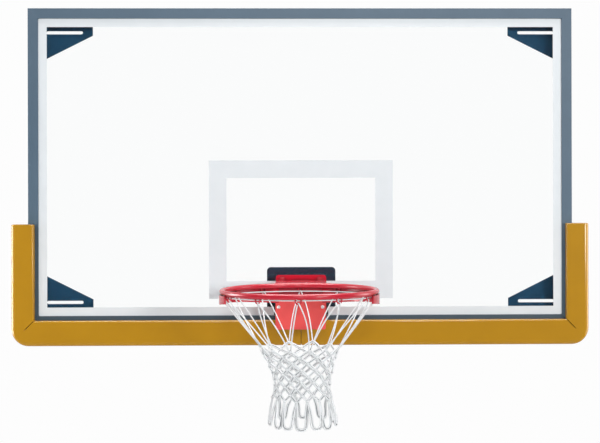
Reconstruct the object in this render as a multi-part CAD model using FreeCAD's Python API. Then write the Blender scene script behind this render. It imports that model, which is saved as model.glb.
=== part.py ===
import FreeCAD, Part
import math
import os

# A glass basketball backboard with a breakaway rim and edge padding.
# Millimetres, +X right, +Y to the rear, +Z up, the player stands at -Y.
# The origin is the centre of the four corner slots on the rear mounting plane.

# General fits
overrun = 2.0
fit_gap = 0.2
weld_gap = 0.2
running_gap = 0.5

# Frame rails, one extrusion with a front lip, a middle flange and a rear flange
frame_width = 1828.8
frame_height = 1066.8
frame_wall = 3.0
front_lip_width = 34.0
middle_flange_width = 25.0
rear_flange_width = 38.0
channel_depth = 21.3

# Glass, gasket and markings
glass_thickness = 12.7
gasket_lip_thickness = 2.5
gasket_edge_thickness = 3.0
gasket_corner_radius = 4.0
marking_thickness = 0.3
border_line_width = 56.5
target_width = 619.0
target_height = 465.0
target_line_width = 59.0
target_base_height = 90.5

# Corner plates with the mounting slots
corner_plate_thickness = 6.0
corner_plate_inset = 17.0
corner_plate_length = 192.0
corner_plate_height = 165.5
corner_plate_nose_margin = 4.3
slot_inset_x = 114.3
slot_inset_z = 76.2
slot_length = 124.0
slot_width = 11.0
corner_bolt_diameter = 8.0
corner_bolt_head_diameter = 15.0
corner_bolt_head_depth = 3.6
corner_nut_across = 13.0
corner_nut_height = 6.0
bolt_tail = 1.5
corner_bolt_length_shares = (0.22, 0.85)
corner_bolt_height_shares = (0.62, 0.84)

# Goal mounting plate behind the glass, and its bolts into the bottom rail
mount_plate_width = 232.0
mount_plate_top = 194.0
mount_plate_thickness = 8.0
mount_plate_corner_radius = 13.0
mount_plate_edge_gap = 2.0
mount_bolt_diameter = 8.0
mount_bolt_head_height = 5.0
mount_bolt_across = 13.0
mount_nut_height = 6.0
mount_bolt_shares = (-0.85, -0.4, 0.4, 0.85)

# Goal bolts with sleeves, grommets, washers and lock nuts
goal_pattern_x = 127.0
goal_pattern_z = 101.6
goal_bolt_margin = 3.0
goal_bolt_diameter = 12.0
goal_bolt_head_height = 7.5
goal_bolt_across = 18.0
goal_washer_diameter = 22.0
goal_washer_thickness = 2.0
goal_nut_height = 6.6
sleeve_wall = 2.7
grommet_wall = 3.0
grommet_flange_width = 2.5
grommet_flange_thickness = 2.0

# Rubber backing and steel back plate of the rim
backing_standoff = 0.5
backing_width = 160.0
backing_foot_width = 182.0
backing_foot_height = 48.0
backing_height = 130.0
backing_edge_gap = 1.5
back_plate_width = 169.0
back_plate_height = 142.0
back_plate_thickness = 8.0
back_plate_corner_radius = 9.0
back_plate_pad_gap = 8.0

# Ring, standing one hand's reach off the glass
ring_inner_diameter = 457.2
ring_rod_diameter = 15.9
ring_glass_distance = 152.4
ring_height = 152.4

# Moving bracket between hinge and ring
top_plate_thickness = 8.0
face_plate_width = 164.0
face_plate_height = 144.4
face_plate_thickness = 6.0
face_plate_corner_radius = 6.0
face_hole_diameter = 9.5
face_hole_inset = 10.5
face_hole_height_share = 0.51
side_web_thickness = 6.0
side_web_rear_gap = 14.0
side_web_outline_shares = (
    (0.0, 0.0), (1.0, 0.0), (1.0, 0.945), (0.82, 0.945), (0.16, 0.28), (0.0, 0.18))
stop_bumper_width = 60.0
stop_bumper_spare = 2.0

# Hinge
hinge_reach = 49.0
hinge_pin_diameter = 16.0
hinge_pin_tail = 4.0
hinge_clip_width = 4.0
hinge_clip_thickness = 1.6
hinge_lug_radius = 16.0
hinge_lug_thickness = 10.0
hinge_lug_spacing = 102.0
hinge_lug_gusset = 18.0
hinge_lug_headroom = 2.4
bushing_wall = 2.5
bushing_play = 0.1

# Release springs and their seats
spring_wire_diameter = 8.0
spring_outer_diameter = 37.0
spring_turns = 6
spring_seat_rim = 1.0
spring_seat_thickness = 4.0
spring_seat_boss_length = 14.0
spring_seat_margin = 1.6
spring_seat_floor = 2.5
spring_cup_wall = 2.5
spring_cup_depth = 8.0
spring_end_gap = 0.3

# Brace bands from in front of the ring's widest point back to the face plate
brace_thickness = 6.0
brace_tip_depth = 23.5
brace_side_depth = 32.5
brace_root_depth = 48.5
brace_tip_angle = 25.0
brace_bend_angle = 59.0
brace_root_inset = 6.0

# Net hooks and net
hook_count = 12
hook_wire_diameter = 4.0
hook_width = 16.0
hook_leg = 5.0
hook_brace_gap = 1.0
net_drop = 415.0
net_cord_width = 4.0
net_cord_thickness = 3.5
net_hang_gap = 0.3
net_row_drop_shares = (0.373, 0.445, 0.515, 0.585, 0.655, 0.722, 0.786, 1.0)
net_row_radius_shares = (0.554, 0.478, 0.42, 0.386, 0.366, 0.359, 0.374, 0.436)

# Edge pads
pad_side = 53.0
pad_bottom = 65.0
pad_height = 342.0
pad_front_thickness = 25.0
pad_rear_lip = 6.0
pad_side_overlap = 23.0
pad_bottom_overlap = 20.0
pad_rear_overlap = 14.0
pad_corner_radius = 58.0
pad_edge_radius = 14.0
pad_seam_gap = 0.4
pad_screw_diameter = 8.0
pad_screw_depth = 30.0
pad_screw_head_across = 13.0
pad_screw_head_height = 5.0
pad_screw_bottom_shares = (0.3, 0.75)
pad_screw_side_share = 0.6

# Planes from rear to front
half_width = frame_width / 2
half_height = frame_height / 2
frame_rear_y = -corner_plate_thickness
rear_flange_front_y = frame_rear_y - frame_wall
middle_rear_y = rear_flange_front_y - channel_depth
middle_front_y = middle_rear_y - frame_wall
glass_rear_y = middle_front_y - gasket_lip_thickness
glass_front_y = glass_rear_y - glass_thickness
lip_rear_y = glass_front_y - gasket_lip_thickness
frame_front_y = lip_rear_y - frame_wall
mount_plate_front_y = rear_flange_front_y - mount_plate_thickness
backing_front_y = frame_front_y - backing_standoff
back_plate_front_y = backing_front_y - back_plate_thickness
pad_front_y = frame_front_y - pad_front_thickness
pad_rear_y = frame_rear_y + pad_rear_lip

# Heights
bottom_z = -half_height
ring_top_z = bottom_z + ring_height
ring_rod_radius = ring_rod_diameter / 2
ring_z = ring_top_z - ring_rod_radius
top_plate_low_z = ring_top_z - top_plate_thickness
hinge_z = top_plate_low_z - hinge_lug_headroom - hinge_lug_radius
back_plate_low_z = bottom_z + pad_bottom_overlap + back_plate_pad_gap
back_plate_top_z = back_plate_low_z + back_plate_height
goal_low_z = bottom_z + rear_flange_width + goal_washer_diameter / 2 + goal_bolt_margin

# Plan positions of the rim
ring_mean_radius = ring_inner_diameter / 2 + ring_rod_radius
ring_outer_radius = ring_mean_radius + ring_rod_radius
ring_y = glass_front_y - ring_glass_distance - ring_inner_diameter / 2
face_front_y = ring_y + ring_outer_radius + weld_gap
face_rear_y = face_front_y + face_plate_thickness
hinge_y = back_plate_front_y - hinge_reach
bumper_length = goal_bolt_head_height + stop_bumper_spare
top_plate_rear_y = back_plate_front_y - bumper_length - weld_gap
web_inner_x = hinge_lug_spacing / 2 + hinge_lug_thickness / 2 + running_gap
web_outer_x = web_inner_x + side_web_thickness
pin_radius = hinge_pin_diameter / 2
bushing_radius = pin_radius + bushing_play + bushing_wall

# Springs stand between the lower goal bolts, low on the back plate
spring_radius = spring_outer_diameter / 2
spring_wire_radius = spring_wire_diameter / 2
spring_mean_radius = spring_radius - spring_wire_radius
spring_seat_radius = spring_radius + spring_seat_rim
hex_corner_share = 1 / math.cos(math.pi / 6)
goal_head_radius = goal_bolt_across / 2 * hex_corner_share
spring_x = goal_pattern_x / 2 - goal_head_radius - spring_seat_radius - spring_seat_margin
spring_z = back_plate_low_z + spring_seat_radius + spring_seat_floor
spring_rear_y = back_plate_front_y - spring_seat_thickness
hook_wire_radius = hook_wire_diameter / 2
brace_inner_radius = ring_mean_radius + hook_wire_radius + hook_brace_gap


def vec(x, y, z):
    return FreeCAD.Vector(x, y, z)


def block(x0, x1, y0, y1, z0, z1):
    return Part.makeBox(x1 - x0, y1 - y0, z1 - z0, vec(x0, y0, z0))


def prism_y(points, y0, y1):
    """A polygon of (x, z) points drawn out along Y."""
    corners = [vec(x, y0, z) for x, z in points]
    face = Part.Face(Part.makePolygon(corners + corners[:1]))
    return face.extrude(vec(0, y1 - y0, 0))


def prism_x(points, x0, x1):
    """A polygon of (y, z) points drawn out along X."""
    corners = [vec(x0, y, z) for y, z in points]
    face = Part.Face(Part.makePolygon(corners + corners[:1]))
    return face.extrude(vec(x1 - x0, 0, 0))


def rod_y(radius, x, z, y0, y1):
    return Part.makeCylinder(radius, y1 - y0, vec(x, y0, z), vec(0, 1, 0))


def rod_x(radius, y, z, x0, x1):
    return Part.makeCylinder(radius, x1 - x0, vec(x0, y, z), vec(1, 0, 0))


def hexagon_y(across, x, z, y0, y1):
    radius = across / 2 * hex_corner_share
    turns = [math.pi / 3 * k for k in range(6)]
    return prism_y([(x + radius * math.cos(a), z + radius * math.sin(a)) for a in turns], y0, y1)


def rectangle(inset, y0, y1):
    """The frame's rectangle, drawn in by inset on every side."""
    return block(-half_width + inset, half_width - inset, y0, y1,
                 -half_height + inset, half_height - inset)


def round_edges_y(solid, radius, choose):
    """Round the edges that run along Y and whose (x, z) the test chooses."""
    edges = []
    for edge in solid.Edges:
        first, last = edge.Vertexes[0].Point, edge.Vertexes[-1].Point
        along_y = abs(last.y - first.y) > abs(last.x - first.x) + abs(last.z - first.z)
        if along_y and choose(first.x, first.z):
            edges.append(edge)
    return solid.makeFillet(radius, edges)


def anywhere(x, z):
    return True


def cut_all(solid, tools):
    return solid.cut(Part.makeCompound(tools))


def group(solids):
    return solids[0] if len(solids) == 1 else Part.makeCompound(solids)


corners = {"top_left": (-1, 1), "top_right": (1, 1), "bottom_left": (-1, -1), "bottom_right": (1, -1)}


def corner_bolt_places(side_x, side_z):
    """Bolt centres in the overlap of a corner plate with the two rear flanges."""
    edge = (corner_plate_inset + rear_flange_width) / 2
    insets = [(corner_plate_inset + s * corner_plate_length, edge) for s in corner_bolt_length_shares]
    insets += [(edge, corner_plate_inset + s * corner_plate_height) for s in corner_bolt_height_shares]
    return [(side_x * (half_width - dx), side_z * (half_height - dz)) for dx, dz in insets]


all_corner_bolt_places = [p for side in corners.values() for p in corner_bolt_places(*side)]
mount_bolt_z = bottom_z + (frame_wall + rear_flange_width) / 2
mount_bolt_places = [(s * mount_plate_width / 2, mount_bolt_z) for s in mount_bolt_shares]
goal_bolt_places = [(side * goal_pattern_x / 2, z) for side in (-1, 1)
                    for z in (goal_low_z, goal_low_z + goal_pattern_z)]
pad_screw_y = (middle_rear_y + rear_flange_front_y) / 2
pad_screw_side_z = bottom_z + pad_screw_side_share * pad_height
pad_screw_bottom_x = [s * half_width for s in pad_screw_bottom_shares]


def rail_profile():
    """Points (distance in from the frame's edge, y) of the extrusion."""
    return [(0, frame_front_y), (front_lip_width, frame_front_y), (front_lip_width, lip_rear_y),
            (frame_wall, lip_rear_y), (frame_wall, middle_front_y), (middle_flange_width, middle_front_y),
            (middle_flange_width, middle_rear_y), (frame_wall, middle_rear_y),
            (frame_wall, rear_flange_front_y), (rear_flange_width, rear_flange_front_y),
            (rear_flange_width, frame_rear_y), (0, frame_rear_y)]


def pad_screw_rods(radius, inner, outer):
    """Rods through the bottom and side webs, from inner to outer, measured in from the frame's edge."""
    rods = []
    for side in (-1, 1):
        for x in pad_screw_bottom_x:
            rods.append(Part.makeCylinder(radius, inner - outer,
                                          vec(side * x, pad_screw_y, bottom_z + outer), vec(0, 0, 1)))
        rods.append(Part.makeCylinder(radius, inner - outer,
                                      vec(side * (half_width - outer), pad_screw_y, pad_screw_side_z),
                                      vec(-side, 0, 0)))
    return rods


def rail(name):
    """One mitred rail, named by its side of the board."""
    reach = max(front_lip_width, middle_flange_width, rear_flange_width) + overrun
    side = 1 if name in ("top", "right") else -1
    if name in ("top", "bottom"):
        points = [vec(-half_width, y, side * (half_height - d)) for d, y in rail_profile()]
        way = vec(frame_width, 0, 0)
        outline = [(-half_width, side * half_height), (half_width, side * half_height),
                   (half_width - reach, side * (half_height - reach)),
                   (-half_width + reach, side * (half_height - reach))]
    else:
        points = [vec(side * (half_width - d), y, -half_height) for d, y in rail_profile()]
        way = vec(0, 0, frame_height)
        outline = [(side * half_width, -half_height), (side * half_width, half_height),
                   (side * (half_width - reach), half_height - reach),
                   (side * (half_width - reach), -half_height + reach)]
    bar = Part.Face(Part.makePolygon(points + points[:1])).extrude(way)
    bar = bar.common(prism_y(outline, frame_front_y - overrun, frame_rear_y + overrun))
    holes = [rod_y(corner_bolt_diameter / 2 + fit_gap, x, z, rear_flange_front_y - overrun,
                   frame_rear_y + overrun) for x, z in all_corner_bolt_places]
    holes += [rod_y(mount_bolt_diameter / 2 + fit_gap, x, z, rear_flange_front_y - overrun,
                    frame_rear_y + overrun) for x, z in mount_bolt_places]
    holes += pad_screw_rods(pad_screw_diameter / 2 + fit_gap, frame_wall + overrun, -overrun)
    return cut_all(bar, holes)


def goal_rods(radius, y0, y1):
    return [rod_y(radius, x, z, y0, y1) for x, z in goal_bolt_places]


sleeve_radius = goal_bolt_diameter / 2 + fit_gap + sleeve_wall
glass_hole_radius = sleeve_radius + fit_gap + grommet_wall + fit_gap
glass_inset = frame_wall + gasket_edge_thickness


def glass_panel():
    holes = goal_rods(glass_hole_radius, glass_front_y - overrun, glass_rear_y + overrun)
    return cut_all(rectangle(glass_inset, glass_front_y, glass_rear_y), holes)


def rounded_window(inset, y0, y1):
    return round_edges_y(rectangle(inset, y0, y1), gasket_corner_radius, anywhere)


def glazing_gasket():
    front = rectangle(frame_wall, lip_rear_y, glass_front_y)
    front = front.cut(rounded_window(front_lip_width, lip_rear_y - overrun, glass_front_y + overrun))
    edge = rectangle(frame_wall, glass_front_y, glass_rear_y)
    edge = edge.cut(rectangle(glass_inset, glass_front_y - overrun, glass_rear_y + overrun))
    rear = rectangle(frame_wall, glass_rear_y, middle_front_y)
    rear = rear.cut(rectangle(middle_flange_width, glass_rear_y - overrun, middle_front_y + overrun))
    return front.multiFuse([edge, rear]).removeSplitter()


marking_front_y = glass_front_y - marking_thickness


def border_marking():
    ring_of_paint = rounded_window(front_lip_width + fit_gap, marking_front_y, glass_front_y)
    window = rectangle(glass_inset + border_line_width, marking_front_y - overrun, glass_front_y + overrun)
    holes = goal_rods(glass_hole_radius, marking_front_y - overrun, glass_front_y + overrun)
    return cut_all(ring_of_paint, [window] + holes)


def target_marking():
    half = target_width / 2
    low = bottom_z + target_base_height
    high = low + target_height
    outer = block(-half, half, marking_front_y, glass_front_y, low, high)
    inner = block(-half + target_line_width, half - target_line_width, marking_front_y - overrun,
                  glass_front_y + overrun, low + target_line_width, high - target_line_width)
    holes = goal_rods(glass_hole_radius, marking_front_y - overrun, glass_front_y + overrun)
    return cut_all(outer, [inner] + holes)


def corner_plate(side_x, side_z):
    """A navy plate behind each corner, cut off on the slant, with a mounting slot."""
    nose = slot_inset_z + slot_width / 2 + corner_plate_nose_margin
    end = corner_plate_inset + corner_plate_length
    insets = [(corner_plate_inset, corner_plate_inset), (end, corner_plate_inset), (end, nose),
              (corner_plate_inset, corner_plate_inset + corner_plate_height)]
    outline = [(side_x * (half_width - dx), side_z * (half_height - dz)) for dx, dz in insets]
    plate = prism_y(outline, frame_rear_y, 0)
    x = side_x * (half_width - slot_inset_x)
    z = side_z * (half_height - slot_inset_z)
    radius = slot_width / 2
    straight = slot_length / 2 - radius
    y0, y1 = frame_rear_y - overrun, overrun
    tools = [block(x - straight, x + straight, y0, y1, z - radius, z + radius),
             rod_y(radius, x - straight, z, y0, y1), rod_y(radius, x + straight, z, y0, y1)]
    plate = plate.cut(tools[0].multiFuse(tools[1:]).removeSplitter())
    return cut_all(plate, [corner_bolt(bx, bz, fit_gap) for bx, bz in corner_bolt_places(side_x, side_z)])


corner_bolt_front_y = rear_flange_front_y - corner_nut_height - bolt_tail


def corner_bolt(x, z, gap):
    """A countersunk bolt, flush with the mounting plane, or its hole when gap is given."""
    radius = corner_bolt_diameter / 2 + gap
    head = Part.makeCone(radius, corner_bolt_head_diameter / 2 + gap, corner_bolt_head_depth,
                         vec(x, -corner_bolt_head_depth, z), vec(0, 1, 0))
    shank = rod_y(radius, x, z, corner_bolt_front_y, -corner_bolt_head_depth)
    return head.fuse(shank)


def nut(across, bore, x, z, y0, y1):
    return hexagon_y(across, x, z, y0, y1).cut(rod_y(bore, x, z, y0 - overrun, y1 + overrun))


def corner_plate_nuts():
    bore = corner_bolt_diameter / 2 + fit_gap
    return [nut(corner_nut_across, bore, x, z, rear_flange_front_y - corner_nut_height, rear_flange_front_y)
            for x, z in all_corner_bolt_places]


def goal_mount_plate():
    half = mount_plate_width / 2
    plate = block(-half, half, mount_plate_front_y, rear_flange_front_y,
                  bottom_z + frame_wall + mount_plate_edge_gap, bottom_z + mount_plate_top)
    plate = round_edges_y(plate, mount_plate_corner_radius, lambda x, z: z > goal_low_z)
    y0, y1 = mount_plate_front_y - overrun, rear_flange_front_y + overrun
    holes = goal_rods(goal_bolt_diameter / 2 + fit_gap, y0, y1)
    holes += [rod_y(mount_bolt_diameter / 2 + fit_gap, x, z, y0, y1) for x, z in mount_bolt_places]
    return cut_all(plate, holes)


def goal_mount_bolts():
    front = mount_plate_front_y - mount_nut_height - bolt_tail
    bolts = []
    for x, z in mount_bolt_places:
        head = hexagon_y(mount_bolt_across, x, z, frame_rear_y, frame_rear_y + mount_bolt_head_height)
        bolts.append(head.fuse(rod_y(mount_bolt_diameter / 2, x, z, front, frame_rear_y)))
    return bolts


def goal_mount_nuts():
    bore = mount_bolt_diameter / 2 + fit_gap
    return [nut(mount_bolt_across, bore, x, z, mount_plate_front_y - mount_nut_height, mount_plate_front_y)
            for x, z in mount_bolt_places]


def tube_y(outer, inner, x, z, y0, y1):
    return rod_y(outer, x, z, y0, y1).cut(rod_y(inner, x, z, y0 - overrun, y1 + overrun))


def glass_grommets():
    outer = glass_hole_radius - fit_gap
    inner = sleeve_radius + fit_gap
    grommets = []
    for x, z in goal_bolt_places:
        flange = rod_y(glass_hole_radius + grommet_flange_width, x, z, glass_rear_y,
                       glass_rear_y + grommet_flange_thickness)
        body = rod_y(outer, x, z, glass_front_y, glass_rear_y).fuse(flange)
        grommets.append(body.cut(rod_y(inner, x, z, glass_front_y - overrun, middle_rear_y)))
    return grommets


def spacer_sleeves():
    bore = goal_bolt_diameter / 2 + fit_gap
    return [tube_y(sleeve_radius, bore, x, z, backing_front_y, mount_plate_front_y)
            for x, z in goal_bolt_places]


def rim_backing_pad():
    """A rubber pad on the glass, wider at its foot, pocketed for the paint that it covers."""
    low = bottom_z + front_lip_width + backing_edge_gap
    foot = low + backing_foot_height
    high = low + backing_height
    wide, slim = backing_foot_width / 2, backing_width / 2
    outline = [(-wide, low), (wide, low), (wide, foot), (slim, foot), (slim, high), (-slim, high),
               (-slim, foot), (-wide, foot)]
    pad = prism_y(outline, backing_front_y, glass_front_y)
    holes = goal_rods(sleeve_radius + fit_gap, backing_front_y - overrun, glass_front_y + overrun)
    base = bottom_z + target_base_height
    pocket = block(-wide - overrun, wide + overrun, marking_front_y, glass_front_y + overrun, base,
                   base + target_line_width)
    border_top = bottom_z + glass_inset + border_line_width
    border_pocket = block(-wide - overrun, wide + overrun, marking_front_y, glass_front_y + overrun,
                          low - overrun, border_top)
    return cut_all(pad, holes + [pocket, border_pocket])


def rim_back_plate():
    half = back_plate_width / 2
    plate = block(-half, half, back_plate_front_y, backing_front_y, back_plate_low_z, back_plate_top_z)
    plate = round_edges_y(plate, back_plate_corner_radius, anywhere)
    holes = goal_rods(goal_bolt_diameter / 2 + fit_gap, back_plate_front_y - overrun,
                      backing_front_y + overrun)
    return cut_all(plate, holes)


goal_nut_front_y = rear_flange_front_y + goal_washer_thickness
goal_nut_rear_y = goal_nut_front_y + goal_nut_height


def goal_bolts():
    bolts = []
    for x, z in goal_bolt_places:
        head = hexagon_y(goal_bolt_across, x, z, back_plate_front_y - goal_bolt_head_height,
                         back_plate_front_y)
        bolts.append(head.fuse(rod_y(goal_bolt_diameter / 2, x, z, back_plate_front_y, goal_nut_rear_y)))
    return bolts


def goal_washers():
    return [tube_y(goal_washer_diameter / 2, goal_bolt_diameter / 2 + fit_gap, x, z, rear_flange_front_y,
                   goal_nut_front_y) for x, z in goal_bolt_places]


def goal_lock_nuts():
    return [nut(goal_bolt_across, goal_bolt_diameter / 2 + fit_gap, x, z, goal_nut_front_y, goal_nut_rear_y)
            for x, z in goal_bolt_places]


def hinge_lug(side):
    """An ear welded to the back plate, rounded about the pin and gusseted below."""
    middle = side * hinge_lug_spacing / 2
    x0, x1 = middle - hinge_lug_thickness / 2, middle + hinge_lug_thickness / 2
    outline = [(back_plate_front_y, hinge_z + hinge_lug_radius), (hinge_y, hinge_z + hinge_lug_radius),
               (hinge_y, hinge_z - hinge_lug_radius),
               (back_plate_front_y, hinge_z - hinge_lug_radius - hinge_lug_gusset)]
    lug = prism_x(outline, x0, x1).fuse(rod_x(hinge_lug_radius, hinge_y, hinge_z, x0, x1))
    return lug.cut(rod_x(pin_radius + fit_gap, hinge_y, hinge_z, x0 - overrun, x1 + overrun))


clip_inner_x = web_outer_x + fit_gap
clip_outer_x = clip_inner_x + hinge_clip_thickness


def hinge_pin():
    end = clip_outer_x + hinge_pin_tail
    return rod_x(pin_radius, hinge_y, hinge_z, -end, end)


def tube_x(outer, inner, y, z, x0, x1):
    return rod_x(outer, y, z, x0, x1).cut(rod_x(inner, y, z, x0 - overrun, x1 + overrun))


def hinge_pin_clips():
    outer = pin_radius + hinge_clip_width
    inner = pin_radius + fit_gap
    return [tube_x(outer, inner, hinge_y, hinge_z, clip_inner_x, clip_outer_x),
            tube_x(outer, inner, hinge_y, hinge_z, -clip_outer_x, -clip_inner_x)]


def hinge_bushings():
    inner = pin_radius + bushing_play
    return [tube_x(bushing_radius, inner, hinge_y, hinge_z, web_inner_x, web_outer_x),
            tube_x(bushing_radius, inner, hinge_y, hinge_z, -web_outer_x, -web_inner_x)]


def side_web(side):
    """A tapered cheek from the top plate to the face plate, hung on the hinge pin."""
    rear = back_plate_front_y - side_web_rear_gap
    length = rear - face_rear_y
    outline = [(rear - along * length, top_plate_low_z - down * face_plate_height)
               for along, down in side_web_outline_shares]
    x0, x1 = (web_inner_x, web_outer_x) if side > 0 else (-web_outer_x, -web_inner_x)
    web = prism_x(outline, x0, x1)
    return web.cut(rod_x(bushing_radius + fit_gap, hinge_y, hinge_z, x0 - overrun, x1 + overrun))


def top_plate():
    """A level plate, hollowed in front to fit the back of the ring."""
    half = face_plate_width / 2
    plate = block(-half, half, ring_y, top_plate_rear_y, top_plate_low_z, ring_top_z)
    bay = Part.makeCylinder(ring_outer_radius + weld_gap, top_plate_thickness + 2 * overrun,
                            vec(0, ring_y, top_plate_low_z - overrun))
    return plate.cut(bay)


def face_plate():
    half = face_plate_width / 2
    low = top_plate_low_z - face_plate_height
    plate = block(-half, half, face_front_y, face_rear_y, low, top_plate_low_z)
    plate = round_edges_y(plate, face_plate_corner_radius, lambda x, z: z < hinge_z)
    hole_x = half - face_hole_inset
    hole_z = low + face_hole_height_share * face_plate_height
    holes = [rod_y(face_hole_diameter / 2, side * hole_x, hole_z, face_front_y - overrun,
                   face_rear_y + overrun) for side in (-1, 1)]
    return cut_all(plate, holes)


def stop_bumper():
    half = stop_bumper_width / 2
    return block(-half, half, back_plate_front_y - bumper_length, back_plate_front_y, top_plate_low_z,
                 ring_top_z)


def rear_spring_seats():
    boss_radius = spring_mean_radius - spring_wire_radius - running_gap
    seats = []
    for side in (-1, 1):
        disc = rod_y(spring_seat_radius, side * spring_x, spring_z, spring_rear_y, back_plate_front_y)
        boss = rod_y(boss_radius, side * spring_x, spring_z, spring_rear_y - spring_seat_boss_length,
                     spring_rear_y)
        seats.append(disc.fuse(boss))
    return seats


def front_spring_cups():
    inner = spring_radius + running_gap
    return [tube_y(inner + spring_cup_wall, inner, side * spring_x, spring_z, face_rear_y,
                   face_rear_y + spring_cup_depth) for side in (-1, 1)]


def biarc(start, start_way, end, end_way):
    """Two arcs from start to end that leave and arrive along the given directions."""
    chord = end - start
    both = start_way + end_way
    bend = 2 * (1 - start_way.dot(end_way))
    across = chord.dot(both)
    reach = (math.sqrt(across * across + bend * chord.dot(chord)) - across) / bend
    joint = (start + start_way * reach + end - end_way * reach) * 0.5
    arcs = []
    for a, apex, b in ((start, start + start_way * reach, joint), (joint, end - end_way * reach, end)):
        middle = (a + b) * 0.5
        half_chord = (b - a).Length / 2
        lean = math.acos(half_chord / reach)
        rise = (apex - middle).normalize() * (half_chord * math.tan(lean / 2))
        arcs.append(Part.Arc(a, middle + rise, b).toShape())
    return arcs


def release_spring(side):
    """A coil along Y between the rear seat and the face plate, one unbroken wire."""
    front = face_rear_y + spring_end_gap + spring_wire_radius
    rear = spring_rear_y - spring_end_gap - spring_wire_radius
    pitch = (rear - front) / spring_turns
    steepness = pitch / (2 * math.pi)

    def place(turn):
        angle = 2 * math.pi * turn
        return vec(side * spring_x + spring_mean_radius * math.cos(angle), front + pitch * turn,
                   spring_z + spring_mean_radius * math.sin(angle))

    def heading(turn):
        angle = 2 * math.pi * turn
        way = vec(-spring_mean_radius * math.sin(angle), steepness, spring_mean_radius * math.cos(angle))
        return way.normalize()

    halves = [k / 2 for k in range(2 * spring_turns)]
    arcs = [arc for t in halves for arc in biarc(place(t), heading(t), place(t + 1 / 2), heading(t + 1 / 2))]
    section = Part.Wire(Part.Circle(place(0), heading(0), spring_wire_radius).toShape())
    wire = Part.Wire(arcs).makePipeShell([section], True, False)
    samples = 24
    points = [place(k / samples) for k in range(samples * spring_turns + 1)]
    apart = samples // 2
    least = min((points[j] - points[i]).Length for i in range(len(points))
                for j in range(i + apart, len(points)))
    print("release spring: least gap between turns", round(least - spring_wire_diameter, 3))
    return wire


def ring():
    return Part.makeTorus(ring_mean_radius, ring_rod_radius, vec(0, ring_y, ring_z))


def ring_brace(side):
    """A flat bar on edge, bent along the ring from its tapered tip and run straight to the face plate."""
    outer = brace_inner_radius + brace_thickness
    tip = -math.radians(brace_tip_angle)
    bend = math.radians(brace_bend_angle)
    halfway = (tip + bend) / 2

    def on_arc(radius, angle):
        return vec(side * radius * math.cos(angle), ring_y + radius * math.sin(angle), 0)

    middle = on_arc((brace_inner_radius + outer) / 2, bend)
    root_x = side * (face_plate_width / 2 - brace_root_inset)
    root = vec(root_x, face_front_y, 0)
    way = (root - middle).normalize()
    spread = vec(side * brace_thickness / 2 / abs(way.y), 0, 0)
    inner_arc = Part.Arc(on_arc(brace_inner_radius, tip), on_arc(brace_inner_radius, halfway),
                         on_arc(brace_inner_radius, bend)).toShape()
    outer_arc = Part.Arc(on_arc(outer, bend), on_arc(outer, halfway), on_arc(outer, tip)).toShape()
    edges = [inner_arc, Part.makeLine(on_arc(brace_inner_radius, bend), root - spread),
             Part.makeLine(root - spread, root + spread), Part.makeLine(root + spread, on_arc(outer, bend)),
             outer_arc, Part.makeLine(on_arc(outer, tip), on_arc(brace_inner_radius, tip))]
    top = ring_z - ring_rod_radius - weld_gap
    depth = max(brace_tip_depth, brace_side_depth, brace_root_depth)
    band = Part.Face(Part.Wire(edges)).extrude(vec(0, 0, depth))
    band.translate(vec(0, 0, top - depth))
    below = top - depth - overrun
    slant = [(root_x, top - brace_root_depth), (side * outer, top - brace_side_depth),
             (side * (outer + overrun), top - brace_side_depth), (side * (outer + overrun), below),
             (0, below), (0, top - brace_root_depth)]
    tip_y = on_arc(outer, tip).y
    taper = [(ring_y, top - brace_side_depth), (tip_y, top - brace_tip_depth),
             (tip_y - overrun, top - brace_tip_depth), (tip_y - overrun, below), (ring_y, below)]
    band = band.cut(prism_y(slant, ring_y, face_front_y + overrun))
    return band.cut(prism_x(taper, 0, side * (outer + overrun)))


def around_ring(solid):
    """Copies of a piece made at the front of the ring, one for each net hook."""
    copies = []
    for k in range(hook_count):
        copy = solid.copy()
        copy.rotate(vec(0, ring_y, 0), vec(0, 0, 1), 360 * k / hook_count)
        copies.append(copy)
    return copies


hook_top_z = ring_z - ring_rod_radius - weld_gap
hook_bend_z = hook_top_z - hook_leg
hook_low_z = hook_bend_z - hook_width / 2 - hook_wire_radius


def net_hooks():
    """Bent wire loops welded under the rod."""
    y = ring_y - ring_mean_radius
    half = hook_width / 2
    bend = Part.makeTorus(half, hook_wire_radius, vec(0, y, hook_bend_z), vec(0, 1, 0))
    reach = half + hook_wire_radius + overrun
    bend = bend.common(block(-reach, reach, y - reach, y + reach, hook_bend_z - reach, hook_bend_z))
    legs = [Part.makeCylinder(hook_wire_radius, hook_leg, vec(side * half, y, hook_bend_z))
            for side in (-1, 1)]
    return around_ring(bend.multiFuse(legs).removeSplitter())


def triangles(a, b, c, d):
    """The four-sided patch a, b, c, d as two flat faces."""
    return [Part.Face(Part.makePolygon([a, b, c, a])), Part.Face(Part.makePolygon([a, c, d, a]))]


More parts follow.
